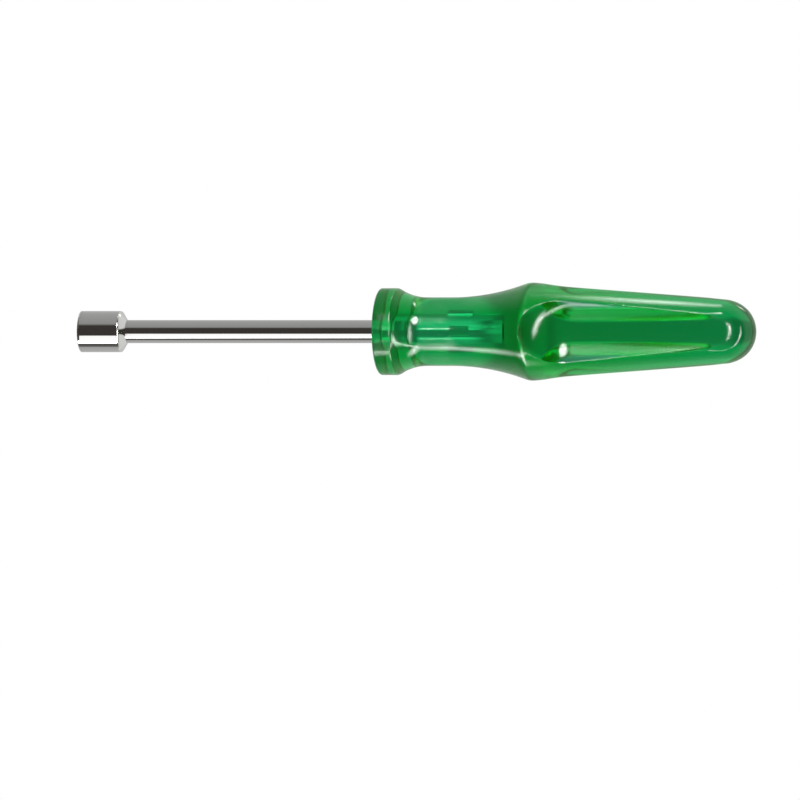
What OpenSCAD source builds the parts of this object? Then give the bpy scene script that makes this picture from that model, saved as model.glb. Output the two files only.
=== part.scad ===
// Nut driver: a hexagon socket brazed to a round bar that is moulded into a clear handle.
// Lengths are in millimetres. The tool lies along X: the socket's mouth is at the origin and the
// handle points to +X. One thumb scoop of the handle faces -Y.

/* [Socket] */
// Across flats of the nut that the socket drives
nut_af = 7; // [5.5:0.5:8]
// Play across the flats between the nut and the socket
nut_clearance = 0.1; // [0.02:0.02:0.3]
// Outside diameter of the socket
socket_d = 10.7; // [10:0.1:14]
// Length of the socket's cylindrical part
socket_len = 10.9; // [9.5:0.1:16]
// Length of the cone that joins the socket to the bar
socket_cone_len = 1.5; // [0.6:0.1:4]
// Depth of the hexagon
hex_depth = 6.2; // [4:0.1:7]
// Lead-in at the hexagon's mouth, measured across the corners
mouth_chamfer = 0.35; // [0.1:0.05:0.6]
// Rounding of the socket's outer edges
socket_edge = 0.35; // [0.1:0.05:0.6]
// Diameter of the hole behind the hexagon, which clears a bolt's end
stud_hole_d = 4.6; // [3:0.1:5.5]
// Depth of that hole past the hexagon
stud_hole_depth = 1.8; // [0.5:0.1:2]

/* [Bar] */
// Diameter of the bar
bar_d = 6; // [5:0.1:7]
// Length of bar that shows between the socket and the handle
bar_shown = 67.6; // [40:0.1:150]
// Length of bar inside the handle
bar_inside = 35; // [30:0.5:37]
// Chamfer on the bar's inner end
bar_chamfer = 0.5; // [0.1:0.1:1]
// Diameter of the spigot that goes into the socket
spigot_d = 4.2; // [3:0.1:4.6]
// Length of the spigot
spigot_len = 4.3; // [2:0.1:5]
// Gap all round the spigot, which the braze fills
braze_gap = 0.03; // [0.01:0.01:0.1]

/* [Wings] */
// Distance from the handle's front face to the wings
wing_from = 18.6; // [12:0.1:22]
// Length of the two wings that stop the bar turning in the handle
wing_len = 7; // [4:0.5:8]
// Width across both wings
wing_span = 7.4; // [6.6:0.1:11]
// Thickness of a wing
wing_t = 1.6; // [1:0.1:2.4]
// Length of the two punch marks that press the wings out
dent_len = 5.4; // [2:0.1:6.5]
// Width of a punch mark
dent_w = 1.9; // [1:0.1:2.6]
// Depth of a punch mark
dent_depth = 0.8; // [0.3:0.1:1.2]

/* [Handle] */
// Length of the handle
handle_len = 100; // [94:0.5:125]
// Gap all round the bar inside the handle
grip_gap = 0.02; // [0.01:0.01:0.1]
// Diameter of the front collar
collar_d = 22.6; // [20:0.1:26]
// Width of the front collar
collar_w = 4.9; // [3:0.1:7]
// Rounding of the collar's front edge
collar_edge = 0.6; // [0.2:0.1:1.5]
// Diameter of the finger neck
neck_d = 17.84; // [15:0.1:19]
// Where the neck's straight part begins, from the handle's front face
neck_from = 12.5; // [10:0.1:15]
// Where the neck's straight part ends
neck_to = 18.9; // [17:0.1:24]
// Diameter at the shoulder, where the handle is thickest
shoulder_d = 25.7; // [23:0.1:30]
// Where the shoulder is
shoulder_at = 39.9; // [38:0.1:46]
// Radius of the domed end
dome_r = 8.5; // [7.6:0.1:10]

/* [Scoops] */
// Thumb scoops round the handle
scoop_count = 3; // [2:1:3]
// Radius of the ball that shapes a scoop
scoop_r = 14.8; // [12:0.1:20]
// Distance from the axis to the floor of a scoop at its deep end
scoop_floor = 6.34; // [5:0.1:8]
// Distance from the shoulder to where a scoop's trough ends and its round end begins
scoop_back = 11.6; // [9:0.1:12.5]
// Angle at which a scoop's floor climbs towards the domed end
scoop_climb = 0.8; // [0:0.1:2]

/* [Hidden] */
$fn = 96;
cut_extra = 1;
hex_af = nut_af + nut_clearance;
hex_corner_r = hex_af / 2 / cos(30);
socket_r = socket_d / 2;
bar_r = bar_d / 2;
socket_end = socket_len + socket_cone_len;
handle_at = socket_end + bar_shown;
bar_end = handle_at + bar_inside;
spigot_hole_r = spigot_d / 2 + braze_gap;
collar_r = collar_d / 2;
neck_r = neck_d / 2;
shoulder_r = shoulder_d / 2;
dome_at = handle_len - dome_r;
scoop_axis_r = scoop_floor + scoop_r;
scoop_from = shoulder_at + scoop_back;
scoop_len = handle_len - scoop_from + cut_extra;

// Turns a shape that was built along Z so that it lies along the tool, starting at x
module along_tool(x = 0) {
    translate([x, 0, 0])
        rotate([0, 90, 0])
            children();
}

// Radius, to a micrometre, of the arc that leaves the neck level and climbs by rise over a length run
function sweep_r(run, rise) = round((run * run + rise * rise) / (2 * rise) * 1000) / 1000;

// Radius of the handle's taper at a distance s from its front face, also ahead of the shoulder
function taper_r(s) = shoulder_r + (shoulder_r - dome_r) * (shoulder_at - s) / (dome_at - shoulder_at);

// Region outside an arc that touches the neck at level and climbs to one side, with side -1 or 1
module neck_sweep(level, side, r) {
    intersection() {
        translate([neck_r + r, level])
            circle(r = r);
        translate([0, side > 0 ? level : level - 2 * r])
            square([neck_r + 2 * r, 2 * r]);
    }
}

// Half of the handle's outline, radius along X and length along Y
module handle_outline() {
    difference() {
        union() {
            polygon([
                [0, 0],
                [collar_r - collar_edge, 0],
                [collar_r, collar_edge],
                [collar_r, neck_from],
                [taper_r(neck_to), neck_to],
                [dome_r, dome_at],
                [0, dome_at]
            ]);
            translate([collar_r - collar_edge, collar_edge])
                circle(r = collar_edge);
            intersection() {
                translate([0, dome_at])
                    circle(r = dome_r);
                translate([0, dome_at])
                    square(dome_r + cut_extra);
            }
        }
        neck_sweep(neck_from, -1, sweep_r(neck_from - collar_w, collar_r - neck_r));
        translate([neck_r, neck_from])
            square([shoulder_r, neck_to - neck_from]);
        neck_sweep(neck_to, 1, sweep_r(shoulder_at - neck_to, shoulder_r - neck_r));
    }
}

// Ball-ended cutter for one thumb scoop
module scoop_cutter() {
    rotate_extrude()
        union() {
            intersection() {
                circle(r = scoop_r);
                translate([0, -2 * scoop_r])
                    square(2 * scoop_r);
            }
            square([scoop_r, scoop_len]);
        }
}

// The two wings on the bar, grown by gap
module wings(gap) {
    translate([handle_at + wing_from - gap, -wing_t / 2 - gap, -wing_span / 2 - gap])
        cube([wing_len + 2 * gap, wing_t + 2 * gap, wing_span + 2 * gap]);
}

// The two punch marks that press the wings out, shrunk by gap
module punch_marks(gap) {
    for (side = [-1, 1])
        translate([
            handle_at + wing_from + (wing_len - dent_len) / 2 + gap,
            side * (bar_r - dent_depth / 2 + cut_extra / 2 + gap) - (dent_depth + cut_extra) / 2,
            -dent_w / 2 + gap
        ])
            cube([dent_len - 2 * gap, dent_depth + cut_extra, dent_w - 2 * gap]);
}

// The bar's shape inside the handle, with its wings and punch marks, grown by gap
module anchored_bar(gap) {
    difference() {
        union() {
            along_tool(handle_at - cut_extra)
                cylinder(r = bar_r + gap, h = cut_extra + bar_inside - bar_chamfer);
            along_tool(bar_end - bar_chamfer)
                cylinder(r1 = bar_r + gap, r2 = bar_r + gap - bar_chamfer, h = bar_chamfer);
            wings(gap);
        }
        punch_marks(gap);
    }
}

// Clear moulded handle with its collar, finger neck, thumb scoops and domed end
module handle() {
    color([0.06, 0.55, 0.25, 0.6])
        difference() {
            along_tool(handle_at)
                rotate([0, 0, 90])
                    rotate_extrude()
                        handle_outline();
            for (k = [0 : scoop_count - 1])
                rotate([k * 360 / scoop_count, 0, 0])
                    translate([handle_at + scoop_from, -scoop_axis_r, 0])
                        rotate([0, 0, -scoop_climb])
                            along_tool()
                                scoop_cutter();
            anchored_bar(grip_gap);
        }
}

// Round bar with the spigot at one end and the wings near the other
module shaft() {
    color([0.76, 0.77, 0.77])
        union() {
            along_tool(socket_end - spigot_len)
                cylinder(d = spigot_d, h = spigot_len + cut_extra);
            along_tool(socket_end)
                cylinder(r = bar_r, h = bar_shown);
            anchored_bar(0);
        }
}

// Outline of the socket's outside, radius along X and length along Y
module socket_outline() {
    union() {
        polygon([
            [0, 0],
            [socket_r - socket_edge, 0],
            [socket_r, socket_edge],
            [socket_r, socket_len],
            [bar_r, socket_end],
            [0, socket_end]
        ]);
        translate([socket_r - socket_edge, socket_edge])
            circle(r = socket_edge);
    }
}

// Hexagon socket with its lead-in, bolt clearance hole and the hole for the bar's spigot
module socket() {
    color([0.76, 0.77, 0.77])
        difference() {
            along_tool()
                rotate_extrude()
                    socket_outline();
            along_tool(-cut_extra)
                cylinder(r = hex_corner_r, h = hex_depth + cut_extra, $fn = 6);
            along_tool(-cut_extra)
                cylinder(
                    r1 = hex_corner_r + mouth_chamfer + cut_extra,
                    r2 = hex_corner_r - cut_extra,
                    h = mouth_chamfer + 2 * cut_extra
                );
            along_tool(hex_depth - cut_extra)
                cylinder(d = stud_hole_d, h = stud_hole_depth + cut_extra);
            along_tool(socket_end - spigot_len - braze_gap)
                cylinder(r = spigot_hole_r, h = spigot_len + braze_gap + cut_extra);
        }
}

handle();
shaft();
socket();
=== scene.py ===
"""Nut driver with a clear moulded handle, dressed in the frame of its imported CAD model.

Sizes in the classes are in millimetres, as in the part's source, and meshes are in metres.
The tool lies along X. Angles round it start at the front thumb scoop, which faces -Y, and grow
towards +Z.
"""

import logging
import math
from dataclasses import dataclass
from enum import Enum
from typing import Any, Sequence

import bmesh
import bpy
import numpy as np
from mathutils import Matrix, Vector


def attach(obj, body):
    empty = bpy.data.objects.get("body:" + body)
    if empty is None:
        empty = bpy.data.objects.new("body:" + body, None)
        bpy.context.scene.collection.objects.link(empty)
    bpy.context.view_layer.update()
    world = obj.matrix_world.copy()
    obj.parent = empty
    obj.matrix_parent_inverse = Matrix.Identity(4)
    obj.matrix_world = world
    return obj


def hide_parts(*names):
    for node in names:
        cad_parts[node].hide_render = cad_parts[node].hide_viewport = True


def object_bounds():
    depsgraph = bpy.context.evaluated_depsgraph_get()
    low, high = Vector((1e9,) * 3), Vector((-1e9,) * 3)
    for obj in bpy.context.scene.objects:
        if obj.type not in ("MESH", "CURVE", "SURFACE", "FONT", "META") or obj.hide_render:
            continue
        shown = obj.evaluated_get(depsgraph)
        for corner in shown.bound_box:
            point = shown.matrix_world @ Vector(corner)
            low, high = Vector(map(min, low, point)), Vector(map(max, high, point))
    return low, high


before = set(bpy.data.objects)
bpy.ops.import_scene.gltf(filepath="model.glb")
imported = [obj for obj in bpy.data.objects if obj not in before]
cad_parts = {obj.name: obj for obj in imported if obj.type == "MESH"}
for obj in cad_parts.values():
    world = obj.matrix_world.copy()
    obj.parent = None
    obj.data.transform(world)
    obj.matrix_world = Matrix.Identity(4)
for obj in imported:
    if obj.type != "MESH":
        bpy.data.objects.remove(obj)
cad_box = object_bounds()
log = logging.getLogger("nut_driver")

Colour = tuple[float, float, float]
Stops = Sequence[tuple[float, Colour]]
Fade = tuple[float, float, float]
Row = tuple[float, Any, float]

MM = 0.001
WELD_M = 0.4e-6
FAR_MM = 99.0
TINY = 1e-6
WHITE = (1.0, 1.0, 1.0, 1.0)


class Slot(Enum):
    """Material slots of the record, one for each piece."""

    CLEAR = "clear_green"
    BAR = "plated_bar"
    SOCKET = "plated_socket"


class Ray(Enum):
    """Kinds of ray that the studio's surroundings answer differently."""

    CAMERA = "Is Camera Ray"
    GLOSSY = "Is Glossy Ray"
    THROUGH = "Is Transmission Ray"


# Shapes round the axis


def smooth_min(a: np.ndarray, b: np.ndarray, width: float | np.ndarray) -> np.ndarray:
    """Takes the lower of two heights and rounds the crossing.

    Args:
        a: First height.
        b: Second height.
        width: Height difference within which the crossing is rounded.

    Returns:
        The rounded lower height.
    """
    share = np.maximum(width - np.abs(a - b), 0.0) / width
    return np.minimum(a, b) - share * share * width / 4


def round_axis(x: np.ndarray, r: np.ndarray, turn: np.ndarray) -> np.ndarray:
    """Places points round the tool's axis.

    Args:
        x: Distance along the tool.
        r: Distance from the axis.
        turn: Angle round the axis, in radians.

    Returns:
        Points in metres, with the coordinates last.
    """
    x, r, turn = np.broadcast_arrays(x, r, turn)
    return np.stack([x, -r * np.cos(turn), r * np.sin(turn)], axis=-1) * MM


def bump_at(value: np.ndarray, place: float, width: float) -> np.ndarray:
    """Gives 1 at a place and fades to 0 about a width away from it."""
    return np.exp(-(((value - place) / width) ** 2))


@dataclass
class RoundSkin:
    """Skin made of rows of points, one row for each step of a path from inside to outside.

    Attributes:
        points: Points by row and column, in metres.
        edge: Closeness to a worn edge by row and column, from 0 to 1.
        closed: True if the last column joins the first.
        first_pole: True if the first row is a single point on the axis.
        last_pole: True if the last row is a single point on the axis.
    """

    points: np.ndarray
    edge: np.ndarray
    closed: bool
    first_pole: bool = False
    last_pole: bool = False

    @classmethod
    def turned(cls, rows: Sequence[Row], turns: np.ndarray, closed: bool) -> "RoundSkin":
        """Makes a skin with a pole at each end.

        Args:
            rows: Place along the tool, radius and closeness to a worn edge of each row.
            turns: Angles of the columns.
            closed: True if the last column joins the first.

        Returns:
            The skin.
        """
        points = np.stack([round_axis(np.array(x), np.asarray(r), turns) for x, r, _ in rows])
        edge = np.stack([np.full(len(turns), worn) for _, _, worn in rows])
        return cls(points, edge, closed, True, True)

    def numbering(self) -> np.ndarray:
        """Numbers the points, with one number for the whole of a pole's row.

        Returns:
            Vertex numbers by row and column, with the first column repeated if the skin closes.
        """
        rows, columns = self.points.shape[:2]
        number = np.arange(rows * columns).reshape(rows, columns)
        if self.first_pole:
            number[0] = number[0, 0]
        if self.last_pole:
            number[-1] = number[-1, 0]
        return np.concatenate([number, number[:, :1]], axis=1) if self.closed else number

    def mesh(self, name: str) -> bpy.types.Mesh:
        """Makes the mesh, with its edge closeness as an attribute.

        Args:
            name: Name of the new mesh.

        Returns:
            The mesh, with no loose points.
        """
        number = self.numbering()
        corners = [number[:-1, :-1], number[1:, :-1], number[1:, 1:], number[:-1, 1:]]
        used, again = np.unique(np.stack(corners, axis=-1).reshape(-1), return_inverse=True)
        faces = [tuple(dict.fromkeys(corner)) for corner in again.reshape(-1, 4).tolist()]
        mesh = bpy.data.meshes.new(name)
        mesh.from_pydata(self.points.reshape(-1, 3)[used].tolist(), [], faces)
        closeness = mesh.attributes.new("edge", "FLOAT", "POINT")
        closeness.data.foreach_set("value", self.edge.reshape(-1)[used].astype(np.float32))
        mesh.update()
        return mesh


def add_object(name: str, data: bpy.types.ID) -> bpy.types.Object:
    """Links a mesh, lamp or camera into the scene as an object at the origin.

    Args:
        name: Name of the object.
        data: The mesh, lamp or camera.

    Returns:
        The object.
    """
    made = bpy.data.objects.new(name, data)
    bpy.context.scene.collection.objects.link(made)
    return made


def stand(place: Vector, *axes: Vector) -> Matrix:
    """Gives the pose of an object at a place, with its three axes along the given ones."""
    return Matrix.Translation(place) @ Matrix(axes).transposed().to_4x4()


def shade(mesh: bpy.types.Mesh, angle: float) -> None:
    """Shades a mesh smooth, except at edges sharper than an angle in degrees."""
    mesh.shade_smooth()
    mesh.set_sharp_from_angle(angle=math.radians(angle))


def grey(level: float) -> Colour:
    """Gives an even grey."""
    return (level, level, level)


class NodeBench:
    """Adds nodes to one tree and links them."""

    MIX_INPUTS = (0, 6, 7)
    MIX_RESULT = 2

    def __init__(self, tree: bpy.types.NodeTree) -> None:
        """Starts on a tree."""
        self.tree = tree

    def add(
        self, kind: str, inputs: dict[Any, Any] | None = None, **settings: Any
    ) -> bpy.types.Node:
        """Adds a node.

        Args:
            kind: Type name of the node.
            inputs: Values or sockets for its inputs, by name or number.
            settings: Properties of the node.

        Returns:
            The node.
        """
        made = self.tree.nodes.new(kind)
        for key, value in settings.items():
            setattr(made, key, value)
        for key, value in (inputs or {}).items():
            self.feed(made.inputs[key], value)
        return made

    def feed(self, socket: bpy.types.NodeSocket, value: Any) -> None:
        """Links a socket to an input, or sets the input's own value.

        Args:
            socket: The input.
            value: A socket to link, or a value.
        """
        if isinstance(value, bpy.types.NodeSocket):
            self.tree.links.new(value, socket)
        else:
            socket.default_value = value

    def sum(self, operation: str, *terms: Any) -> bpy.types.NodeSocket:
        """Adds a Math node and gives its result."""
        inputs = dict(enumerate(terms))
        return self.add("ShaderNodeMath", inputs, operation=operation).outputs[0]

    def ease(
        self, value: bpy.types.NodeSocket, low: float, high: float, to: float = 1.0
    ) -> bpy.types.NodeSocket:
        """Eases a value from 0 at low to another value at high.

        Args:
            value: The value to follow.
            low: Where the result is 0.
            high: Where the result is at its end value.
            to: The end value.

        Returns:
            The eased value.
        """
        limits = {"Value": value, "From Min": low, "From Max": high, "To Max": to}
        return self.add("ShaderNodeMapRange", limits, interpolation_type="SMOOTHSTEP").outputs[0]

    def noise(
        self, place: bpy.types.NodeSocket, scale: Any, detail: float
    ) -> bpy.types.NodeSocket:
        """Adds a noise texture and gives its value."""
        inputs = {"Vector": place, "Scale": scale, "Detail": detail}
        return self.add("ShaderNodeTexNoise", inputs).outputs[0]

    def group(self, tree: bpy.types.NodeTree, **inputs: Any) -> bpy.types.NodeSocket:
        """Places a node group with its inputs and gives its output."""
        return self.add("ShaderNodeGroup", inputs, node_tree=tree).outputs[0]

    def bump(self, shader: bpy.types.Node, height: bpy.types.NodeSocket, depth_mm: float) -> None:
        """Lets a height bend a shader's normals."""
        inputs = {"Height": height, "Strength": 1.0, "Distance": depth_mm * MM}
        self.feed(shader.inputs["Normal"], self.add("ShaderNodeBump", inputs).outputs[0])

    def ramp(self, value: bpy.types.NodeSocket, stops: Stops) -> bpy.types.NodeSocket:
        """Adds a colour ramp.

        Args:
            value: Place on the ramp, from 0 to 1.
            stops: Places and their colours.

        Returns:
            The colour.
        """
        made = self.add("ShaderNodeValToRGB", {0: value})
        elements = made.color_ramp.elements
        elements.remove(elements[1])
        elements[0].position, elements[0].color = stops[0][0], (*stops[0][1], 1.0)
        for place, colour in stops[1:]:
            elements.new(place).color = (*colour, 1.0)
        return made.outputs[0]

    def mix(self, share: Any, a: Any, b: Any) -> bpy.types.NodeSocket:
        """Mixes two colours by a share."""
        inputs = dict(zip(self.MIX_INPUTS, (share, a, b)))
        return self.add("ShaderNodeMix", inputs, data_type="RGBA").outputs[self.MIX_RESULT]


# Repeats made with Geometry Nodes


class AxisRepeat:
    """Geometry Nodes tree that repeats a sector round the tool's axis and welds it to one skin."""

    def __init__(self) -> None:
        """Builds the tree."""
        self.tree = bpy.data.node_groups.new("repeat about axis", "GeometryNodeTree")
        inputs = {"Sector": "Geometry", "Count": "Int", "Weld": "Float", "Finish": "Material"}
        face = self.tree.interface
        for name, kind in inputs.items():
            face.new_socket(name, in_out="INPUT", socket_type="NodeSocket" + kind)
        face.new_socket("Skin", in_out="OUTPUT", socket_type="NodeSocketGeometry")
        bench = NodeBench(self.tree)
        given = bench.add("NodeGroupInput").outputs
        places = bench.add(
            "GeometryNodeMeshLine", {"Count": given["Count"], "Offset": (0.0, 0.0, 0.0)}
        )
        step = bench.sum("DIVIDE", math.tau, given["Count"])
        turn = bench.sum("MULTIPLY", bench.add("GeometryNodeInputIndex").outputs[0], step)
        turned = bench.add(
            "FunctionNodeAxisAngleToRotation", {"Axis": (1.0, 0.0, 0.0), "Angle": turn}
        )
        copies = bench.add(
            "GeometryNodeInstanceOnPoints",
            {
                "Points": places.outputs[0],
                "Instance": given["Sector"],
                "Rotation": turned.outputs[0],
            },
        )
        real = bench.add("GeometryNodeRealizeInstances", {0: copies.outputs[0]})
        welded = bench.add(
            "GeometryNodeMergeByDistance",
            {"Geometry": real.outputs[0], "Distance": given["Weld"]},
        )
        dressed = bench.add(
            "GeometryNodeSetMaterial",
            {"Geometry": welded.outputs[0], "Material": given["Finish"]},
        )
        bench.add("NodeGroupOutput", {0: dressed.outputs[0]})

    def apply(self, made: bpy.types.Object, count: int, finish: bpy.types.Material) -> None:
        """Turns an object's sector into the whole skin, as a plain mesh.

        Args:
            made: Object that holds one sector.
            count: How many sectors go round the axis.
            finish: Material of the skin.
        """
        modifier = made.modifiers.new("repeat", "NODES")
        modifier.node_group = self.tree
        keys = {item.name: item.identifier for item in self.tree.interface.items_tree}
        for name, value in (("Count", count), ("Weld", WELD_M), ("Finish", finish)):
            modifier[keys[name]] = value
        graph = bpy.context.evaluated_depsgraph_get()
        skin = bpy.data.meshes.new_from_object(
            made.evaluated_get(graph), preserve_all_data_layers=True, depsgraph=graph
        )
        made.modifiers.remove(modifier)
        made.data = skin


# Finishes


class SharedEffects:
    """Shader node groups that more than one finish uses."""

    LINES = (0.5, 0.72)
    SMUDGES = (0.35, 0.7)
    SMUDGE_SCALE = 140.0
    PATCHES = (0.38, 0.68)

    def __init__(self) -> None:
        """Builds the groups."""
        self.marks = self._fine_marks()
        self.wear = self._edge_wear()
        self.ripple = self._slow_ripple()

    @staticmethod
    def _start(
        name: str, inputs: dict[str, str], output: str
    ) -> tuple[bpy.types.NodeTree, NodeBench, Any]:
        """Starts a group.

        Args:
            name: Name of the group.
            inputs: Names of its inputs and their kinds.
            output: Name of its one output value.

        Returns:
            The group, its bench and its input sockets.
        """
        tree = bpy.data.node_groups.new(name, "ShaderNodeTree")
        for key, kind in inputs.items():
            tree.interface.new_socket(key, in_out="INPUT", socket_type="NodeSocket" + kind)
        tree.interface.new_socket(output, in_out="OUTPUT", socket_type="NodeSocketFloat")
        bench = NodeBench(tree)
        return tree, bench, bench.add("NodeGroupInput").outputs

    def _fine_marks(self) -> bpy.types.NodeTree:
        """Builds fine drawn lines and handling marks that run along the tool.

        Returns:
            The group, with a mask as its output.
        """
        inputs = {"Place": "Vector", "Along": "Float", "Across": "Float", "Amount": "Float"}
        tree, bench, given = self._start("fine marks", inputs, "Marks")
        along, across = given["Along"], given["Across"]
        scale = bench.add("ShaderNodeCombineXYZ", {0: along, 1: across, 2: across}).outputs[0]
        place = bench.add(
            "ShaderNodeVectorMath", {0: given["Place"], 1: scale}, operation="MULTIPLY"
        )
        lines = bench.ease(bench.noise(place.outputs[0], 1.0, 3.0), *self.LINES)
        smudges = bench.noise(given["Place"], self.SMUDGE_SCALE, 2.0)
        strong = bench.sum("MULTIPLY", lines, bench.ease(smudges, *self.SMUDGES))
        bench.add("NodeGroupOutput", {0: bench.sum("MULTIPLY", strong, given["Amount"])})
        return tree

    def _edge_wear(self) -> bpy.types.NodeTree:
        """Builds wear that follows the piece's edges in broken patches.

        Returns:
            The group, with a mask as its output.
        """
        inputs = {"Place": "Vector", "Scale": "Float", "Amount": "Float"}
        tree, bench, given = self._start("edge wear", inputs, "Wear")
        close = bench.add("ShaderNodeAttribute", attribute_name="edge").outputs["Fac"]
        patches = bench.noise(given["Place"], given["Scale"], 4.0)
        broken = bench.sum("MULTIPLY", close, bench.ease(patches, *self.PATCHES))
        bench.add("NodeGroupOutput", {0: bench.sum("MULTIPLY", broken, given["Amount"])})
        return tree

    def _slow_ripple(self) -> bpy.types.NodeTree:
        """Builds the slow unevenness of a moulded or polished surface.

        Returns:
            The group, with a height as its output.
        """
        inputs = {"Place": "Vector", "Scale": "Float"}
        tree, bench, given = self._start("slow ripple", inputs, "Height")
        bench.add("NodeGroupOutput", {0: bench.noise(given["Place"], given["Scale"], 1.0)})
        return tree


def start_material(
    name: str,
) -> tuple[bpy.types.Material, NodeBench, bpy.types.Node, bpy.types.NodeSocket]:
    """Starts a node material.

    Args:
        name: Name of the material.

    Returns:
        The material, its bench, its Principled shader and the Object coordinates.
    """
    made = bpy.data.materials.new(name)
    made.use_nodes = True
    bench = NodeBench(made.node_tree)
    place = bench.add("ShaderNodeTexCoord").outputs["Object"]
    return made, bench, made.node_tree.nodes["Principled BSDF"], place


@dataclass(frozen=True)
class ClearPlastic:
    """Polished clear plastic that is tinted all through.

    Attributes:
        tint: Colour that the plastic lets through.
        density: How fast the tint deepens, per metre.
        ior: Index of refraction.
        polish: Roughness of the clean surface.
        haze: Extra roughness in handling marks and on worn edges.
        mark_scale: Handling marks per metre, along and across the tool.
        mark_amount: How strong the marks are, from 0 to 1.
        wear_scale: Patches of wear per metre.
        wear_amount: How strong the wear is, from 0 to 1.
        ripple_scale: Waves per metre of the mould's slow unevenness.
        ripple_mm: Height of that unevenness.
        cloud_scale: Faint clouds in the colour, per metre.
        cloudy: Colour of the clouds.
        dull: Extra roughness of the front collar, where the mould is less polished.
        dull_to_mm: Where the duller part ends along the tool.
        dull_fade_mm: Half of the length over which it ends.
    """

    tint: Colour = (0.0625, 0.972, 0.685)
    density: float = 320.0
    ior: float = 1.475
    polish: float = 0.1
    haze: float = 0.09
    mark_scale: tuple[float, float] = (260.0, 1500.0)
    mark_amount: float = 0.35
    wear_scale: float = 420.0
    wear_amount: float = 0.8
    ripple_scale: float = 70.0
    ripple_mm: float = 0.012
    cloud_scale: float = 45.0
    cloudy: Colour = (0.95, 1.0, 0.96)
    dull: float = 0.05
    dull_to_mm: float = 86.5
    dull_fade_mm: float = 1.5

    def material(self, effects: SharedEffects) -> bpy.types.Material:
        """Builds the material.

        Args:
            effects: The shared node groups.

        Returns:
            The material.
        """
        made, bench, shader, place = start_material("clear green plastic")
        along, across = self.mark_scale
        marks = bench.group(
            effects.marks, Place=place, Along=along, Across=across, Amount=self.mark_amount
        )
        wear = bench.group(
            effects.wear, Place=place, Scale=self.wear_scale, Amount=self.wear_amount
        )
        ripple = bench.group(effects.ripple, Place=place, Scale=self.ripple_scale)
        spoiled = bench.sum("MAXIMUM", marks, wear)
        x = bench.add("ShaderNodeSeparateXYZ", {0: place}).outputs[0]
        ends = [(self.dull_to_mm + side * self.dull_fade_mm) * MM for side in (1, -1)]
        dulled = bench.ease(x, *ends, self.dull)
        rough = bench.sum("MULTIPLY_ADD", spoiled, self.haze, self.polish)
        bench.feed(shader.inputs["Roughness"], bench.sum("ADD", rough, dulled))
        clouds = bench.noise(place, self.cloud_scale, 2.0)
        bench.feed(shader.inputs["Base Color"], bench.mix(clouds, WHITE, (*self.cloudy, 1.0)))
        bench.bump(shader, ripple, self.ripple_mm)
        shader.inputs["Transmission Weight"].default_value = 1.0
        shader.inputs["IOR"].default_value = self.ior
        inside = bench.add(
            "ShaderNodeVolumeAbsorption", {"Color": (*self.tint, 1.0), "Density": self.density}
        )
        out = made.node_tree.nodes["Material Output"]
        bench.feed(out.inputs["Volume"], inside.outputs[0])
        return made


@dataclass(frozen=True)
class BrightPlating:
    """Bright plating on steel, with fine lines along it and dulled edges.

    Attributes:
        name: Name of the material.
        bright: Colour of the clean plating.
        dull: Colour of plating that is rubbed.
        polish: Roughness of the clean plating.
        lines: How strong the fine lines are, from 0 to 1.
        line_scale: Lines per metre along and across the piece.
        line_rough: Extra roughness in the lines.
        line_depth: Depth of the lines, as a share of the bump.
        wear_scale: Patches of wear per metre.
        wear_amount: How strong the wear is, from 0 to 1.
        wear_rough: Extra roughness on worn edges.
        cloud_scale: Rubbed clouds per metre.
        cloud_share: How strong the clouds are, from 0 to 1.
        ripple_scale: Waves per metre of the slow unevenness.
        bump_mm: Height of the bump.
    """

    name: str
    bright: Colour = (0.80, 0.80, 0.79)
    dull: Colour = (0.62, 0.60, 0.57)
    polish: float = 0.03
    lines: float = 0.6
    line_scale: tuple[float, float] = (40.0, 5200.0)
    line_rough: float = 0.05
    line_depth: float = 0.12
    wear_scale: float = 900.0
    wear_amount: float = 0.9
    wear_rough: float = 0.18
    cloud_scale: float = 90.0
    cloud_share: float = 0.12
    ripple_scale: float = 220.0
    bump_mm: float = 0.0015

    def material(self, effects: SharedEffects) -> bpy.types.Material:
        """Builds the material.

        Args:
            effects: The shared node groups.

        Returns:
            The material.
        """
        made, bench, shader, place = start_material(self.name)
        along, across = self.line_scale
        marks = bench.group(
            effects.marks, Place=place, Along=along, Across=across, Amount=self.lines
        )
        wear = bench.group(
            effects.wear, Place=place, Scale=self.wear_scale, Amount=self.wear_amount
        )
        ripple = bench.group(effects.ripple, Place=place, Scale=self.ripple_scale)
        clouds = bench.noise(place, self.cloud_scale, 3.0)
        rubbed = bench.sum("MULTIPLY_ADD", clouds, self.cloud_share, wear)
        colour = bench.mix(rubbed, (*self.bright, 1.0), (*self.dull, 1.0))
        bench.feed(shader.inputs["Base Color"], colour)
        rough = bench.sum("MULTIPLY_ADD", marks, self.line_rough, self.polish)
        rough = bench.sum("MULTIPLY_ADD", wear, self.wear_rough, rough)
        bench.feed(shader.inputs["Roughness"], rough)
        shader.inputs["Metallic"].default_value = 1.0
        height = bench.sum("MULTIPLY_ADD", marks, -self.line_depth, ripple)
        bench.bump(shader, height, self.bump_mm)
        return made


# Pieces


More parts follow.
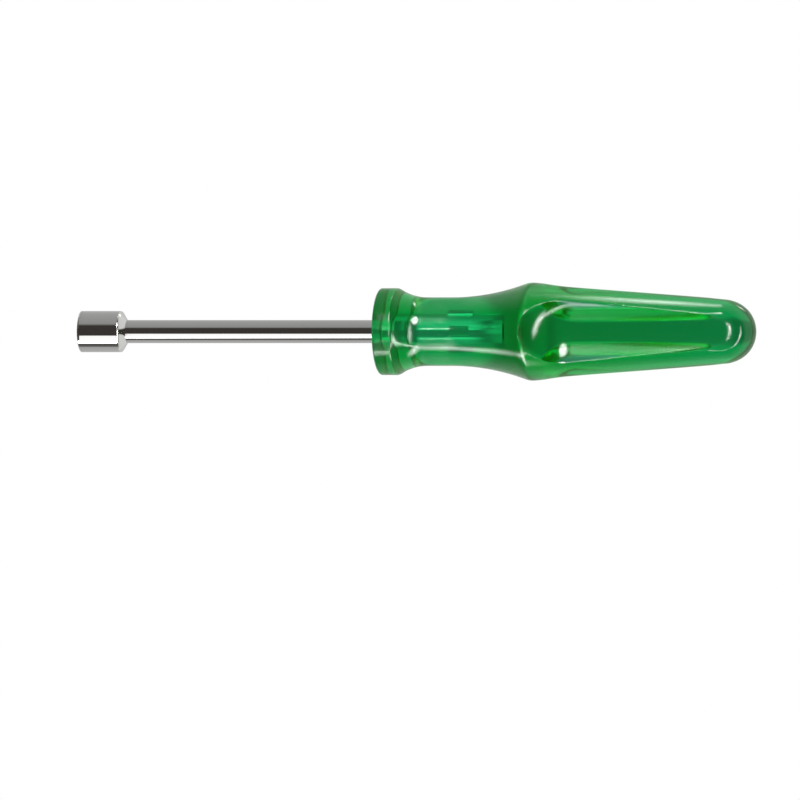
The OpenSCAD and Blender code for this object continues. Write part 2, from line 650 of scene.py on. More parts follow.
@dataclass
class Bar:
    """Round plated bar with its spigot, wings and punch marks.

    Attributes:
        start: Where the bar meets the socket's cone.
        radius: Radius of the bar.
        handle_at: Where the bar enters the handle.
        inside: Length inside the handle.
        chamfer: Chamfer on the inner end.
        lip: Chamfer at the start.
        spigot_r: Radius of the spigot in the socket.
        spigot_len: Length of the spigot.
        spigot_edge: Chamfer on the spigot's end.
        wing_from: Start of the wings, from the handle's front face.
        wing_len: Length of the wings.
        wing_half: Half of the width across the wings.
        wing_t: Thickness of a wing.
        dent_len: Length of a punch mark.
        dent_w: Width of a punch mark.
        dent_floor: Distance from the axis to a punch mark's floor.
        step: Length over which a wing's or a mark's end wall rises.
        shown_rows: First row, limit and step of the rows on the length that shows.
        plain_rows: Rows inside the handle away from the wings, from its front face.
        wear_fade: How far wear reaches from the start.
        sharp_deg: Angle from which an edge is shaded sharp.
    """

    start: float = 12.4
    radius: float = 3.0
    handle_at: float = 80.0
    inside: float = 35.0
    chamfer: float = 0.5
    lip: float = 0.04
    spigot_r: float = 2.1
    spigot_len: float = 4.3
    spigot_edge: float = 0.3
    wing_from: float = 18.6
    wing_len: float = 7.0
    wing_half: float = 3.7
    wing_t: float = 1.6
    dent_len: float = 5.4
    dent_w: float = 1.9
    dent_floor: float = 2.2
    step: float = 0.06
    shown_rows: tuple[float, float, float] = (13.2, 79.0, 1.6)
    plain_rows: Sequence[float] = (0.0, 0.5, 4.0, 8.0, 12.0, 16.0, 20.4, 22.1, 23.8, 28.0, 31.0)
    wear_fade: float = 0.8
    sharp_deg: float = 30.0

    def anchor_rows(self) -> list[float]:
        """Lists where the bar inside the handle needs rows.

        Returns:
            Distances from the handle's front face, in order.
        """
        back = self.wing_from + self.wing_len
        gap = (self.wing_len - self.dent_len) / 2
        ends = [self.wing_from, self.wing_from + gap, back - gap, back]
        near = [end + side * self.step / 2 for end in ends for side in (-1, 1)]
        return sorted([*near, *self.plain_rows, self.inside - self.chamfer])

    def anchor_radius(self, along: float, turn: np.ndarray) -> np.ndarray:
        """Gives the bar's radius inside the handle.

        Args:
            along: Distance from the handle's front face.
            turn: Angles round the axis.

        Returns:
            The radius at each angle.
        """
        level = np.full_like(turn, self.radius)
        front, back = self.wing_from, self.wing_from + self.wing_len
        across, up = np.maximum(np.abs([np.cos(turn), np.sin(turn)]), TINY)
        if front < along < back:
            plate = np.minimum(self.wing_t / 2 / across, self.wing_half / up)
            level = np.maximum(level, plate)
        gap = (self.wing_len - self.dent_len) / 2
        if front + gap < along < back - gap:
            marked = up * self.radius < self.dent_w / 2
            level = np.where(marked, self.dent_floor / across, level)
        return level

    def build(self, turns: np.ndarray) -> bpy.types.Object:
        """Builds the bar's skin.

        Args:
            turns: Angles of its columns, the same as those of the handle's hollow.

        Returns:
            The bar.
        """
        end = self.handle_at + self.inside
        tip, slope = self.start - self.spigot_len, self.spigot_edge
        rows: list[Row] = [
            (tip, 0.0, 0.0), (tip, self.spigot_r - slope, 0.4), (tip + slope, self.spigot_r, 0.4),
            (self.start - slope, self.spigot_r, 0.0), (self.start, self.spigot_r, 0.0),
            (self.start, self.radius - self.lip, 0.3), (self.start + self.lip, self.radius, 0.6),
        ]
        for x in np.arange(*self.shown_rows):
            rows.append((x, self.radius, float(bump_at(x, self.start, self.wear_fade))))
        for along in self.anchor_rows():
            rows.append((self.handle_at + along, self.anchor_radius(along, turns), 0.0))
        rows += [(end, self.radius - self.chamfer, 0.3), (end, 0.0, 0.0)]
        mesh = RoundSkin.turned(rows, turns, True).mesh("plated_bar")
        shade(mesh, self.sharp_deg)
        return add_object("plated_bar", mesh)

    def dress(self, made: bpy.types.Object, finish: bpy.types.Material) -> None:
        """Gives the bar its plating."""
        made.data.materials.append(finish)


@dataclass
class Handle:
    """Clear moulded handle: collar, finger neck, shoulder, three thumb scoops and a domed end.

    Attributes:
        at: Where its front face is along the tool.
        length: Its length.
        collar_r: Radius of the front collar.
        collar_w: Width of the collar.
        collar_edge: Rounding of the collar's front edge.
        neck_r: Radius of the finger neck.
        neck_from: Start of the neck's straight part.
        neck_to: End of the neck's straight part.
        shoulder_r: Radius at the shoulder.
        shoulder_at: Where the shoulder is.
        dome_r: Radius of the domed end.
        scoops: How many thumb scoops go round it.
        scoop_r: Radius of the ball that shapes a scoop.
        scoop_floor: Distance from the axis to a scoop's floor at its deep end.
        scoop_back: Distance from the shoulder to the ball's middle.
        scoop_climb: Angle at which the floor climbs, in degrees.
        soften: Rounding of the corners that moulding leaves.
        shoulder_soften: How many times that the shoulder's corner is rounded.
        rim_soften: Rounding of a scoop's rim at the shoulder and at the domed end.
        rim_fade: Where each of these gives way, from the shoulder and the dome, and how slowly.
        grip: How far the hollow stays inside the bar's skin, so that plastic touches metal.
        halves: Columns of half a scoop: on its floor, over its ridge and on the land beside it.
        ridge_half: Half of the angle that the ridge's columns cover, in degrees.
        ridge_span: Least and greatest angle from a scoop's middle to its ridge, in degrees.
        ridge_least_r: Least radius at which a ridge is looked for.
        face_rings: Radii of the rings on the flat front face.
        face_rim: Width of the rings at that face's two edges.
        wear_reach: How far wear reaches from a scoop's rim, the collar and the shoulder.
        shoulder_wear: How worn the shoulder is, from 0 to 1.
        sharp_deg: Angle from which an edge is shaded sharp.
    """

    at: float = 80.0
    length: float = 100.0
    collar_r: float = 11.3
    collar_w: float = 4.9
    collar_edge: float = 0.6
    neck_r: float = 8.92
    neck_from: float = 12.5
    neck_to: float = 18.9
    shoulder_r: float = 12.85
    shoulder_at: float = 39.9
    dome_r: float = 8.5
    scoops: int = 3
    scoop_r: float = 14.8
    scoop_floor: float = 6.34
    scoop_back: float = 11.6
    scoop_climb: float = 0.8
    soften: float = 0.35
    shoulder_soften: float = 1.7
    rim_soften: tuple[float, float] = (0.15, 2.3)
    rim_fade: tuple[tuple[float, float], tuple[float, float]] = ((2.5, 0.6), (1.5, 0.9))
    grip: float = 0.02
    halves: tuple[int, int, int] = (24, 9, 13)
    ridge_half: float = 2.4
    ridge_span: tuple[float, float] = (7.0, 50.0)
    ridge_least_r: float = 0.5
    face_rings: tuple[float, float] = (6.0, 9.0)
    face_rim: float = 0.4
    wear_reach: tuple[float, float, float] = (0.45, 0.5, 0.6)
    shoulder_wear: float = 0.6
    sharp_deg: float = 32.0

    @staticmethod
    def sweep(run: np.ndarray, length: float, rise: float) -> np.ndarray:
        """Gives the climb of an arc that leaves the neck level.

        Args:
            run: Distance from where the arc leaves the neck.
            length: Run at which the arc has climbed by rise.
            rise: That climb.

        Returns:
            The climb at each run.
        """
        radius = (length**2 + rise**2) / (2 * rise)
        return radius - np.sqrt(np.maximum(radius**2 - run**2, 0.0))

    @property
    def taper(self) -> float:
        """Slope of the handle's taper."""
        return (self.shoulder_r - self.dome_r) / (self.length - self.dome_r - self.shoulder_at)

    @property
    def tip_r(self) -> float:
        """Radius of the ball that meets the taper without a corner and reaches the handle's end."""
        level = self.shoulder_r - self.taper * (self.length - self.shoulder_at)
        return level / (math.hypot(1.0, self.taper) - self.taper)

    def outline(self, along: np.ndarray) -> np.ndarray:
        """Gives the radius of the handle before its scoops are cut.

        Args:
            along: Distance from the front face.

        Returns:
            The radius at each distance.
        """
        ahead = np.maximum(self.neck_from - along, 0.0)
        behind = np.maximum(along - self.neck_to, 0.0)
        front = self.neck_r + self.sweep(
            ahead, self.neck_from - self.collar_w, self.collar_r - self.neck_r
        )
        back = self.neck_r + self.sweep(
            behind, self.shoulder_at - self.neck_to, self.shoulder_r - self.neck_r
        )
        tapered = self.shoulder_r - self.taper * (along - self.shoulder_at)
        collar = smooth_min(np.full_like(along, self.collar_r), front, self.soften)
        shoulder = smooth_min(back, tapered, self.shoulder_soften * self.soften)
        body = np.where(along < self.neck_to, collar, shoulder)
        ball = self.length - self.tip_r
        dome = np.sqrt(np.maximum(self.tip_r**2 - (along - ball) ** 2, 0.0))
        return np.where(along > ball + self.tip_r * math.sin(math.atan(self.taper)), dome, body)

    def ball_axis(self, along: np.ndarray) -> tuple[np.ndarray, np.ndarray]:
        """Gives the scoop cutter at a distance along the handle.

        Args:
            along: Distance from the front face.

        Returns:
            The distance from the tool's axis to the cutter's, and the cutter's radius squared
            there.
        """
        past = along - (self.shoulder_at + self.scoop_back)
        climb = math.tan(math.radians(self.scoop_climb))
        axis = self.scoop_floor + self.scoop_r + np.maximum(past, 0.0) * climb
        return axis, np.maximum(self.scoop_r**2 - np.maximum(-past, 0.0) ** 2, 0.0)

    def scoop(self, along: np.ndarray, turn: np.ndarray) -> np.ndarray:
        """Gives the distance from the axis to a scoop's floor.

        Args:
            along: Distance from the front face.
            turn: Angle from the scoop's middle.

        Returns:
            The distance, or a large one where the scoop isn't.
        """
        axis, square = self.ball_axis(along)
        reach = square - (axis * np.sin(turn)) ** 2
        floor = axis * np.cos(turn) - np.sqrt(np.maximum(reach, 0.0))
        return np.where((reach > 0.0) & (np.cos(turn) > 0.0), floor, FAR_MM)

    def ridge(self, along: np.ndarray) -> np.ndarray:
        """Gives the angle from a scoop's middle to its ridge, kept inside the sector.

        Args:
            along: Distance from the front face.

        Returns:
            The angle at each distance, in radians.
        """
        axis, square = self.ball_axis(along)
        r = np.maximum(self.outline(along), self.ridge_least_r)
        cosine = np.clip((r**2 + axis**2 - square) / (2 * r * axis), -1.0, 1.0)
        return np.clip(np.arccos(cosine), *(math.radians(angle) for angle in self.ridge_span))

    def columns(self, along: np.ndarray) -> np.ndarray:
        """Spreads a sector's columns so that they are close together over the ridges.

        Args:
            along: Distance of each row from the front face.

        Returns:
            Angles by row and column.
        """
        ridge, half = self.ridge(along)[:, None], math.radians(self.ridge_half)
        floor, over, land = (np.linspace(0.0, 1.0, n + 1)[None, :] for n in self.halves)
        rim = math.pi / self.scoops
        parts = [
            floor * (ridge - half),
            (ridge - half + over * 2 * half)[:, 1:],
            (ridge + half + land * (rim - ridge - half))[:, 1:],
        ]
        upper = np.concatenate(parts, axis=1)
        return np.concatenate([-upper[:, :0:-1], upper], axis=1)

    def ring(self) -> np.ndarray:
        """Gives the angles of all the columns at the front face.

        Returns:
            The angles, in order round the axis.
        """
        sector = self.columns(np.array([0.0]))[0, :-1]
        whole = [sector + k * math.tau / self.scoops for k in range(self.scoops)]
        return np.sort(np.concatenate(whole))

    def rows(self) -> np.ndarray:
        """Lists the skin's rows behind the collar's front edge, closest where the form turns.

        Returns:
            Distances from the front face, in order.
        """
        collar, shoulder = self.collar_w, self.shoulder_at
        ball, tangent = self.length - self.tip_r, math.atan(self.taper)
        low, high, last = (math.radians(angle) for angle in (30.0, 40.0, 88.0))
        straight = (
            (self.collar_edge, collar - 0.6, 5),
            (collar - 0.5, collar + 0.6, 12),
            (collar + 0.9, self.neck_from, 16),
            (self.neck_from, self.neck_to, 8),
            (self.neck_to, shoulder - 3.4, 24),
            (shoulder - 3.4, shoulder - 3.4 + 2.0, 26),
            (shoulder - 3.4 + 2.0, shoulder + 0.8, 26),
            (shoulder + 0.8, shoulder + 4.0, 16),
            (shoulder + 4.0, ball + self.tip_r * math.sin(tangent), 46),
        )
        domed = ((tangent, low, 16), (low, high, 20), (high, last, 18))
        parts = [np.linspace(*span) for span in straight]
        parts += [ball + self.tip_r * np.sin(np.linspace(*span)) for span in domed]
        return np.unique(np.round(np.concatenate(parts), 5))

    def sector(self, mouth_r: float) -> RoundSkin:
        """Builds one scoop's sector of the outer skin, from the bar's hole to the tip.

        Args:
            mouth_r: Radius of the hole for the bar.

        Returns:
            The sector's skin.
        """
        along = self.rows()
        turn = self.columns(along)
        plain = self.outline(along)[:, None]
        cut = self.scoop(along[:, None], turn)
        (behind, slow), (ahead, slower) = self.rim_fade
        front = 1.0 / (1.0 + np.exp((along - self.shoulder_at - behind) / slow))
        back = 1.0 / (1.0 + np.exp((self.length - self.dome_r - ahead - along) / slower))
        first, last = (rim - self.soften for rim in self.rim_soften)
        width = (self.soften + front * first + back * last)[:, None]
        side = round_axis(self.at + along[:, None], smooth_min(plain, cut, width), turn)
        rim, collar, shoulder = self.wear_reach
        worn = bump_at(plain - cut, 0.0, rim) + bump_at(along, self.collar_w, collar)[:, None]
        worn = worn + self.shoulder_wear * bump_at(along, self.shoulder_at, shoulder)[:, None]
        flat = turn[:1]
        lean = np.linspace(0.0, math.pi / 2, 8)[:-1, None]
        inner = self.collar_r - self.collar_edge
        edges = (mouth_r + self.face_rim, inner - self.face_rim)
        rings = np.array([mouth_r, edges[0], *self.face_rings, edges[1]])
        face = round_axis(np.array(self.at), rings[:, None], flat)
        nose = round_axis(
            self.at + self.collar_edge * (1 - np.cos(lean)),
            inner + self.collar_edge * np.sin(lean),
            flat,
        )
        tip = round_axis(np.array(self.at + self.length), np.zeros((1, 1)), flat)
        closeness = [
            np.zeros(face.shape[:2]),
            np.ones(nose.shape[:2]),
            np.clip(worn, 0.0, 1.0),
            np.zeros(tip.shape[:2]),
        ]
        points = np.concatenate([face, nose, side, tip])
        return RoundSkin(points, np.concatenate(closeness), False, False, True)

    def hollow(self, bar: Bar) -> RoundSkin:
        """Builds the wall of the hollow that the bar fills.

        Args:
            bar: The bar, whose form the hollow follows.

        Returns:
            The wall, from the hollow's end to the front face.
        """
        turns = self.ring()
        end = np.array(self.at + bar.inside - self.grip)
        rim = np.full_like(turns, bar.radius - bar.chamfer - self.grip)
        rows = [round_axis(end, level, turns) for level in (np.zeros_like(turns), rim)]
        for along in reversed(bar.anchor_rows()):
            level = bar.anchor_radius(along, turns) - self.grip
            rows.append(round_axis(np.array(self.at + along), level, turns))
        points = np.stack(rows)
        return RoundSkin(points, np.zeros(points.shape[:2]), True, True, False)

    def build(
        self, bar: Bar, repeat: AxisRepeat, finish: bpy.types.Material
    ) -> bpy.types.Object:
        """Builds the handle: the outer skin from its dressed sectors, welded to the hollow.

        Args:
            bar: The bar inside it.
            repeat: The tree that repeats a sector.
            finish: The handle's material.

        Returns:
            The handle.
        """
        sector = self.sector(bar.radius - self.grip).mesh("clear_handle")
        made = add_object("clear_handle", sector)
        repeat.apply(made, self.scoops, finish)
        hollow = self.hollow(bar).mesh("hollow")
        joined = bmesh.new()
        joined.from_mesh(made.data)
        joined.from_mesh(hollow)
        bmesh.ops.remove_doubles(joined, verts=joined.verts, dist=WELD_M)
        joined.to_mesh(made.data)
        joined.free()
        bpy.data.meshes.remove(hollow)
        shade(made.data, self.sharp_deg)
        return made


@dataclass
class Socket:
    """Plated hexagon socket with its lead-in, bolt hole, rounded edges and cone.

    Attributes:
        radius: Outside radius.
        length: Length of the cylindrical part.
        cone_len: Length of the cone.
        cone_soften: Rounding of the corner between cylinder and cone.
        bar_r: Radius of the bar where the cone ends.
        sides: Sides of the hexagon.
        flat_r: Half of the distance across the hexagon's flats.
        hex_depth: Depth of the hexagon.
        lead_in: Lead-in across the hexagon's corners.
        edge: Rounding of the outer edges.
        fillet: Small chamfer on the edges inside.
        bolt_r: Radius of the hole behind the hexagon.
        bolt_depth: Depth of that hole.
        spigot_r: Radius of the hole for the bar's spigot.
        spigot_len: Depth of the hole for the spigot.
        steps: Columns in one side of the hexagon.
        sharp_deg: Angle from which an edge is shaded sharp.
    """

    radius: float = 5.35
    length: float = 10.9
    cone_len: float = 1.5
    cone_soften: float = 0.4
    bar_r: float = 3.0
    sides: int = 6
    flat_r: float = 3.55
    hex_depth: float = 6.2
    lead_in: float = 0.35
    edge: float = 0.35
    fillet: float = 0.1
    bolt_r: float = 2.3
    bolt_depth: float = 1.8
    spigot_r: float = 2.13
    spigot_len: float = 4.33
    steps: int = 24
    sharp_deg: float = 30.0

    def outside(self, x: np.ndarray) -> np.ndarray:
        """Gives the radius of the cylinder and cone, with the corner between them rounded."""
        cone = self.radius - (x - self.length) * (self.radius - self.bar_r) / self.cone_len
        return smooth_min(np.full_like(x, self.radius), cone, self.cone_soften)

    def sector(self) -> RoundSkin:
        """Builds the part of the socket round one side of the hexagon.

        Returns:
            The sector's skin, from the bolt hole's floor to the spigot hole's floor.
        """
        half = math.pi / self.sides
        turn = np.linspace(-half, half, self.steps + 1) + half
        flat = self.flat_r / np.cos(turn - half)
        mouth = self.flat_r / math.cos(half) + self.lead_in
        end = self.length + self.cone_len
        rear, floor = end - self.spigot_len, self.hex_depth + self.bolt_depth
        step, small = self.hex_depth, self.fillet
        rows: list[Row] = [
            (floor, 0.0, 0.0), (floor, self.bolt_r - small, 0.0), (floor - small, self.bolt_r, 0.0),
            (step + small, self.bolt_r, 0.2), (step, self.bolt_r + small, 0.4),
            (step, flat - small, 0.1), (step - small, flat, 0.2),
        ]
        rows += [(x, flat, 0.1) for x in np.linspace(step - 0.8, 1.4, 5)]
        rows += [(x, np.maximum(flat, mouth - x), 1.0 - x) for x in np.linspace(0.95, 0.0, 20)]
        rows += [(0.0, r, 1.0) for r in np.linspace(mouth, self.radius - self.edge, 5)[1:]]
        for lean in np.linspace(0.0, math.pi / 2, 9)[1:]:
            x, drop = (self.edge * (1 - wave(lean)) for wave in (math.cos, math.sin))
            rows.append((x, self.radius - drop, 1.0))
        plain = np.linspace(self.edge, self.length - 0.8, 24)[1:]
        places = np.concatenate([plain, np.linspace(self.length - 0.75, end, 34)])
        worn = np.maximum(bump_at(places, self.length, 0.35), bump_at(places, 0.3, 0.5))
        rows += list(zip(places.tolist(), self.outside(places).tolist(), worn.tolist()))
        rows += [(end, self.spigot_r, 0.0), (rear, self.spigot_r, 0.0), (rear, 0.0, 0.0)]
        return RoundSkin.turned(rows, turn, False)

    def build(self, repeat: AxisRepeat, finish: bpy.types.Material) -> bpy.types.Object:
        """Builds the socket from its dressed sides.

        Args:
            repeat: The tree that repeats a sector.
            finish: The socket's material.

        Returns:
            The socket.
        """
        made = add_object("hexagon_socket", self.sector().mesh("hexagon_socket"))
        repeat.apply(made, self.sides, finish)
        shade(made.data, self.sharp_deg)
        return made


# Studio


class LampShape(Enum):
    """Outlines of a lamp's face."""

    STRIP = "RECTANGLE"
    OVAL = "ELLIPSE"


@dataclass(frozen=True)
class Lamp:
    """Lamp with soft edges, which a point of the tool sees between two directions.

    Attributes:
        name: Name of the lamp.
        target: The point of the tool, in millimetres.
        ends: Directions of the face's two ends from there, in degrees: the angle round the tool,
            0 towards the front scoop and 90 straight up, and the swing towards the domed end.
        width_deg: Width of the face, seen from there.
        distance: Distance from there, in metres.
        glow: Brightness of its face, where 1 is white.
        soft: Share of the face that fades towards the edges, from 0 to 1.
        shape: Outline of the face.
    """

    name: str
    target: tuple[float, float, float]
    ends: tuple[tuple[float, float], tuple[float, float]]
    width_deg: float
    distance: float
    glow: float
    soft: float = 0.5
    shape: LampShape = LampShape.OVAL

    @staticmethod
    def way(round_deg: float, swing_deg: float) -> Vector:
        """Gives a direction from the tool.

        Args:
            round_deg: Angle round the tool.
            swing_deg: Swing towards its domed end.

        Returns:
            The direction, of length 1.
        """
        turn, swing = math.radians(round_deg), math.radians(swing_deg)
        across = math.cos(swing)
        return Vector((math.sin(swing), -across * math.cos(turn), across * math.sin(turn)))

    def place(self) -> None:
        """Adds the lamp to the scene, for surfaces only: it doesn't show through the plastic."""
        first, last = (self.way(*end) for end in self.ends)
        away = (first + last).normalized()
        along = (last - first).normalized()
        angles = (first.angle(last), math.radians(self.width_deg))
        size = [2 * self.distance * math.tan(angle / 2) for angle in angles]
        data = bpy.data.lights.new(self.name, "AREA")
        data.shape, data.size, data.size_y = self.shape.value, *size
        filled = 1.0 if self.shape is LampShape.STRIP else math.pi / 4
        data.energy = self.glow * math.pi * filled * size[0] * size[1]
        self._soften(data)
        made = add_object(self.name, data)
        made.visible_camera = made.visible_transmission = False
        centre = Vector(self.target) * MM + away * self.distance
        made.matrix_world = stand(centre, along, away.cross(along), away)

    def _soften(self, data: bpy.types.Light) -> None:
        """Fades the lamp's face towards its edges.

        Args:
            data: The lamp's data.
        """
        data.use_nodes = True
        bench = NodeBench(data.node_tree)
        face = bench.add("ShaderNodeNewGeometry").outputs["Parametric"]
        places = bench.add("ShaderNodeSeparateXYZ", {0: face}).outputs[:2]
        sides = [
            bench.sum("ABSOLUTE", bench.sum("MULTIPLY_ADD", place, 2.0, -1.0)) for place in places
        ]
        if self.shape is LampShape.OVAL:
            squares = [bench.sum("MULTIPLY", side, side) for side in sides]
            sides = [bench.sum("SQRT", bench.sum("ADD", *squares))]
        fades = [bench.ease(side, 1.0, 1.0 - self.soft) for side in sides]
        fade = bench.sum("MULTIPLY", *fades) if len(fades) > 1 else fades[0]
        bench.feed(data.node_tree.nodes["Emission"].inputs["Strength"], fade)


@dataclass(frozen=True)
class Tent:
    """Light tent that shows through the plastic, alike in front and behind.

    A fade is where it begins, where it ends and what it adds there. Swings go towards the domed
    end and heights away from level, both in degrees.

    Attributes:
        base: Brightness before the fades.
        level: Fade by height that picks out level directions.
        core: Fades by swing in level directions, added together.
        near: Fades by swing in level directions, multiplied to one pale band.
        steep: Fade by height that picks out steep directions.
        high: Fade by swing in steep directions.
        right: Fade by swing in all directions.
    """

    base: float = 0.34
    level: Fade = (20.0, 12.0, 1.0)
    core: tuple[Fade, Fade] = ((-6.0, -12.0, -0.13), (-19.0, -26.0, -0.05))
    near: tuple[Fade, Fade] = ((4.0, 1.0, 1.0), (-6.0, 0.0, 0.22))
    steep: Fade = (36.0, 48.0, 1.0)
    high: Fade = (-22.0, -30.0, 0.12)
    right: Fade = (-3.0, 5.0, -0.16)

    def glow(
        self,
        bench: NodeBench,
        x: bpy.types.NodeSocket,
        y: bpy.types.NodeSocket,
        z: bpy.types.NodeSocket,
    ) -> bpy.types.NodeSocket:
        """Builds the tent's brightness.

        Args:
            bench: The world's bench.
            x: Direction along the tool.
            y: Direction across it.
            z: Direction up.

        Returns:
            The brightness.
        """
        degrees = math.degrees(1.0)
        swing = bench.sum("MULTIPLY", x, bench.sum("SIGN", y))
        swing = bench.sum("ARCTAN2", swing, bench.sum("ABSOLUTE", y))
        swing = bench.sum("MULTIPLY", swing, degrees)
        height = bench.sum("MULTIPLY", bench.sum("ARCSINE", z), degrees)
        height = bench.sum("ABSOLUTE", height)
        level = bench.ease(height, *self.level)
        core = bench.sum("ADD", *(bench.ease(swing, *fade) for fade in self.core))
        near = bench.sum("MULTIPLY", *(bench.ease(swing, *fade) for fade in self.near))
        core, near = (bench.sum("MULTIPLY", level, part) for part in (core, near))
        steep = bench.ease(height, *self.steep)
        high = bench.sum("MULTIPLY", steep, bench.ease(swing, *self.high))
        rest = bench.sum("ADD", high, bench.ease(swing, *self.right))
        rest = bench.sum("ADD", rest, self.base)
        return bench.sum("ADD", bench.sum("ADD", core, near), rest)


DARK = (0.045, 0.040, 0.036)
PALE = (0.75, 0.75, 0.74)


@dataclass
class Studio:
    """White studio: surroundings, lamps, floor and camera.

    Attributes:
        bands: Surroundings that polished surfaces show, by angle round the tool in degrees.
        panels: Surroundings that sloping surfaces show, by the same angle.
        inside: Surroundings that the bar shows inside the plastic, by the same angle.
        lamps: The lamps.
        tent: The light tent that shows through the plastic.
        band_reach: Distance from the camera's swing at which bands begin, and where they are full.
        inside_reach: The same for the surroundings of the bar inside the plastic.
        front_reach: The same for directions towards the front.
        bounce_test: Glossy depth above which a ray has met the bar.
        floor_half: Half of the floor's side, in metres.
        floor_tones: Darkest and lightest tone of the floor.
        floor_grain: Grain of the floor, per metre.
        floor_rough: Roughness of the floor.
        yaw_deg: Turn of the camera round the tool towards its domed end.
        camera_back: Distance of the camera from the tool, in metres.
        pixel_mm: Size of a pixel at the tool.
        mouth_px: Pixel of the middle of the socket's mouth.
        image_px: Width and height of the image.
        bounces: Greatest number of all, glossy and transmission bounces.
    """

    bands: Stops = (
        (-180.0, grey(0.55)), (-112.0, (0.46, 0.46, 0.455)), (-98.0, (0.42, 0.42, 0.41)),
        (-92.0, (0.12, 0.115, 0.11)), (-60.0, (0.10, 0.095, 0.09)), (-24.0, (0.08, 0.075, 0.07)),
        (-19.0, DARK), (33.0, DARK), (45.0, (0.31, 0.31, 0.305)), (62.0, (0.34, 0.34, 0.335)),
        (110.0, (0.40, 0.40, 0.395)), (180.0, grey(0.55)),
    )
    panels: Stops = (
        (-180.0, grey(0.5)), (-150.0, PALE), (-118.0, PALE), (-84.0, DARK),
        (64.0, DARK), (106.0, (0.72, 0.72, 0.71)), (150.0, PALE), (180.0, grey(0.5)),
    )
    inside: Stops = (
        (-180.0, grey(0.45)), (-100.0, grey(0.42)), (-72.0, grey(0.5)), (-58.0, grey(0.6)),
        (-51.0, grey(1.1)), (-45.0, grey(0.5)), (-40.0, grey(0.27)), (-5.0, grey(0.24)),
        (12.0, grey(0.26)), (17.0, grey(1.5)), (23.0, grey(0.6)), (85.0, grey(0.65)),
        (115.0, grey(0.5)), (180.0, grey(0.45)),
    )
    lamps: Sequence[Lamp] = (
        Lamp("bar card", (58.0, 0.0, 0.0), ((-67.0, -13.0), (-22.0, -13.0)),
             4.9, 1.4, 1.15, 0.12, shape=LampShape.STRIP),
        Lamp("arc right", (124.0, -8.6, 1.0), ((34.0, 58.0), (-52.0, 24.0)),
             17.0, 0.8, 16.0, 0.8),
        Lamp("arc middle", (128.0, -8.0, 5.5), ((-26.0, 50.0), (-60.0, -26.0)),
             10.0, 0.8, 12.0, 0.8),
        Lamp("arc left", (105.0, -8.0, -4.7), ((-55.0, -2.0), (-76.0, -54.0)),
             21.0, 0.6, 10.0, 0.9),
        Lamp("round", (130.5, -7.2, -4.8), ((21.0, -3.7), (55.0, -3.7)),
             18.0, 0.7, 27.0, 0.55),
        Lamp("fill", (138.0, -7.3, -4.8), ((20.0, -14.4), (56.0, -14.4)),
             2.8, 0.7, 5.5, 1.0),
        Lamp("collar strip", (90.2, -9.1, -0.6), ((-52.0, 7.0), (38.0, 7.0)),
             12.0, 0.06, 13.0, 1.0),
        Lamp("neck line", (92.0, -8.9, 0.8), ((10.0, -14.8), (10.0, -11.2)),
             5.5, 0.3, 20.0, 0.8),
        Lamp("lower neck line", (92.0, -8.7, -1.9), ((-24.6, -14.8), (-24.6, -11.2)),
             4.0, 0.3, 8.0, 0.8),
        Lamp("overhead", (153.0, -7.0, 7.5), ((84.0, -6.3), (118.0, -6.6)),
             5.0, 0.6, 12.0, 1.0),
        Lamp("shoulder strip", (121.0, -10.9, -6.6), ((-34.0, -25.0), (-94.0, -5.0)),
             22.0, 0.1, 17.0, 1.0),
        Lamp("upper panel", (170.0, 0.0, 0.0), ((56.0, -13.0), (128.0, -13.0)),
             9.5, 0.6, 0.5, shape=LampShape.STRIP),
        Lamp("lower panel", (125.0, 0.0, 0.0), ((-74.0, -13.0), (-128.0, -13.0)),
             4.5, 0.6, 0.5, shape=LampShape.STRIP),
        Lamp("dome front", (174.6, -6.8, 0.5), ((-1.6, 0.6), (1.6, 0.6)),
             15.0, 0.045, 36.0, 1.0),
        Lamp("dome back", (176.0, -2.8, 6.0), ((128.0, 9.0), (146.0, 27.0)),
             14.0, 0.5, 5.0, 1.0),
    )
    tent: Tent = Tent()
    band_reach: tuple[float, float] = (0.12, 0.03)
    inside_reach: tuple[float, float] = (0.2, 0.1)
    front_reach: tuple[float, float] = (0.2, -0.2)
    bounce_test: float = 0.5
    floor_half: float = 3.0
    floor_tones: tuple[Colour, Colour] = (grey(0.90), grey(0.94))
    floor_grain: float = 60.0
    floor_rough: float = 0.9
    yaw_deg: float = 13.0
    camera_back: float = 1.5
    pixel_mm: float = 0.26
    mouth_px: tuple[float, float] = (81.0, 331.6)
    image_px: float = 800.0
    bounces: tuple[int, int, int] = (32, 24, 24)

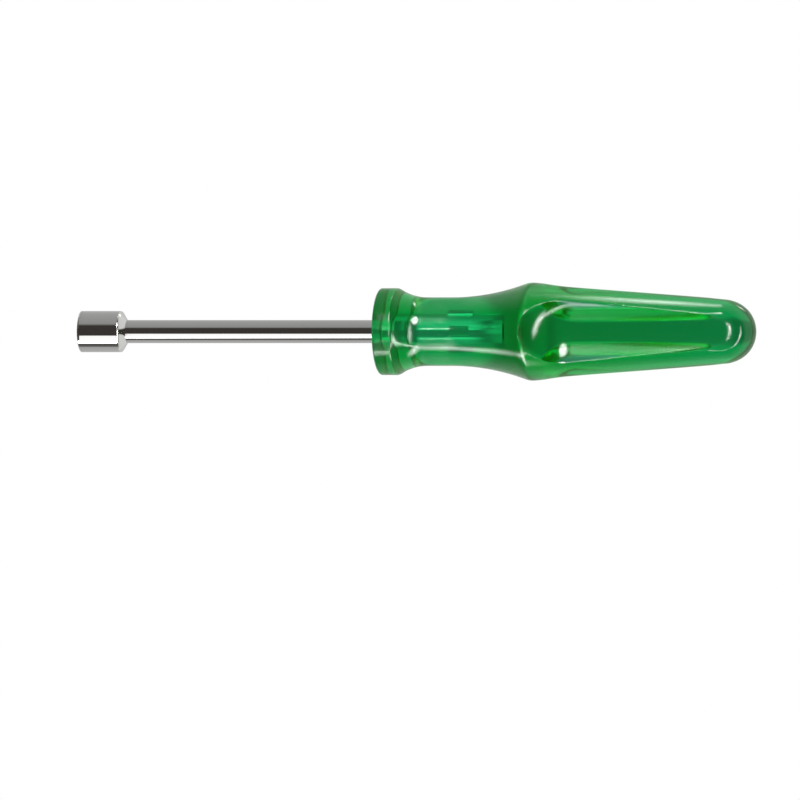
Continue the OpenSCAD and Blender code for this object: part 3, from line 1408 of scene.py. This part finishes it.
    def world(self) -> None:
        """Builds the surroundings: white for the camera, bands for polish, a tent behind glass."""
        world = bpy.data.worlds.new("studio")
        bpy.context.scene.world = world
        world.use_nodes = True
        world.node_tree.nodes.clear()
        bench = NodeBench(world.node_tree)
        ways = bench.add("ShaderNodeTexCoord").outputs["Generated"]
        x, y, z = bench.add("ShaderNodeSeparateXYZ", {0: ways}).outputs
        around = bench.sum("ARCTAN2", z, bench.sum("MULTIPLY", y, -1.0))
        share = bench.sum("MULTIPLY_ADD", around, 1.0 / math.tau, 0.5)
        panels, bands, inside = (
            bench.ramp(share, [((angle + 180.0) / 360.0, colour) for angle, colour in stops])
            for stops in (self.panels, self.bands, self.inside)
        )
        aside = bench.sum("ADD", x, math.sin(math.radians(self.yaw_deg)))
        aside = bench.sum("ABSOLUTE", aside)
        polished = bench.mix(bench.ease(aside, *self.band_reach), panels, bands)
        kinds = bench.add("ShaderNodeLightPath").outputs
        seen = bench.mix(kinds[Ray.GLOSSY.value], WHITE, polished)
        bounced = bench.sum("GREATER_THAN", kinds["Glossy Depth"], self.bounce_test)
        bounced = bench.sum("MULTIPLY", bounced, bench.ease(y, *self.front_reach))
        bounced = bench.sum("MULTIPLY", bounced, bench.ease(aside, *self.inside_reach))
        through = bench.mix(bounced, self.tent.glow(bench, x, y, z), inside)
        seen = bench.mix(kinds[Ray.THROUGH.value], seen, through)
        seen = bench.mix(kinds[Ray.CAMERA.value], seen, WHITE)
        light = bench.add("ShaderNodeBackground", {"Color": seen, "Strength": 1.0})
        bench.add("ShaderNodeOutputWorld", {"Surface": light.outputs[0]})

    def floor(self, level: float) -> bpy.types.Object:
        """Builds the pale floor, which metal and glass don't show.

        Args:
            level: Height of the floor.

        Returns:
            The floor.
        """
        half = self.floor_half
        mesh = bpy.data.meshes.new("floor")
        ways = ((-1, -1), (1, -1), (1, 1), (-1, 1))
        mesh.from_pydata([(x * half, y * half, level) for x, y in ways], [], [(0, 1, 2, 3)])
        made = add_object("floor", mesh)
        finish, bench, shader, place = start_material("pale floor")
        dark, light = ((*tone, 1.0) for tone in self.floor_tones)
        colour = bench.mix(bench.noise(place, self.floor_grain, 4.0), dark, light)
        bench.feed(shader.inputs["Base Color"], colour)
        shader.inputs["Roughness"].default_value = self.floor_rough
        shader.inputs["Specular IOR Level"].default_value = 0.0
        mesh.materials.append(finish)
        made.visible_glossy = made.visible_transmission = made.visible_shadow = False
        return made

    def camera(self) -> None:
        """Adds the camera at the photograph's viewing angle."""
        data = bpy.data.cameras.new("photo camera")
        data.type, data.ortho_scale = "ORTHO", self.image_px * self.pixel_mm * MM
        made = add_object("photo camera", data)
        yaw = math.radians(self.yaw_deg)
        right, up = Vector((math.cos(yaw), math.sin(yaw), 0.0)), Vector((0.0, 0.0, 1.0))
        back = right.cross(up)
        across, down = (self.image_px / 2 - place for place in self.mouth_px)
        centre = (right * across - up * down) * (self.pixel_mm * MM)
        made.matrix_world = stand(centre + back * self.camera_back, right, up, back)
        bpy.context.scene.camera = made

    def build(self, level: float) -> None:
        """Builds the whole studio.

        Args:
            level: Height of the floor.
        """
        self.camera()
        self.world()
        for lamp in self.lamps:
            lamp.place()
        self.floor(level)
        scene = bpy.context.scene
        scene.view_settings.view_transform = "Standard"
        cycles = scene.cycles
        cycles.max_bounces, cycles.glossy_bounces, cycles.transmission_bounces = self.bounces


def hand_over(piece: bpy.types.Object, node: str) -> None:
    """Lets a piece stand for its CAD node and reports it.

    Args:
        piece: The finished piece.
        node: Name of the CAD node.
    """
    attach(piece, "root")
    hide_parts(node)
    count = sum(len(face.vertices) - 2 for face in piece.data.polygons)
    log.info("%s stands for %s, %d triangles", piece.name, node, count)


def main() -> None:
    """Builds the pieces in order, then the studio."""
    logging.basicConfig(level=logging.INFO, format="%(name)s: %(message)s")
    effects = SharedEffects()
    repeat = AxisRepeat()
    clear = ClearPlastic().material(effects)
    bar_plating = BrightPlating("plated bar").material(effects)
    socket_plating = BrightPlating(
        "plated socket", polish=0.035, line_scale=(300.0, 3600.0)
    ).material(effects)

    bar, handle, socket = Bar(), Handle(), Socket()
    bar_piece = bar.build(handle.ring())
    bar.dress(bar_piece, bar_plating)
    hand_over(bar_piece, "shaft")
    hand_over(handle.build(bar, repeat, clear), "handle")
    hand_over(socket.build(repeat, socket_plating), "socket")

    Studio().build(cad_box[0].z)


if __name__ == "__main__":
    main()
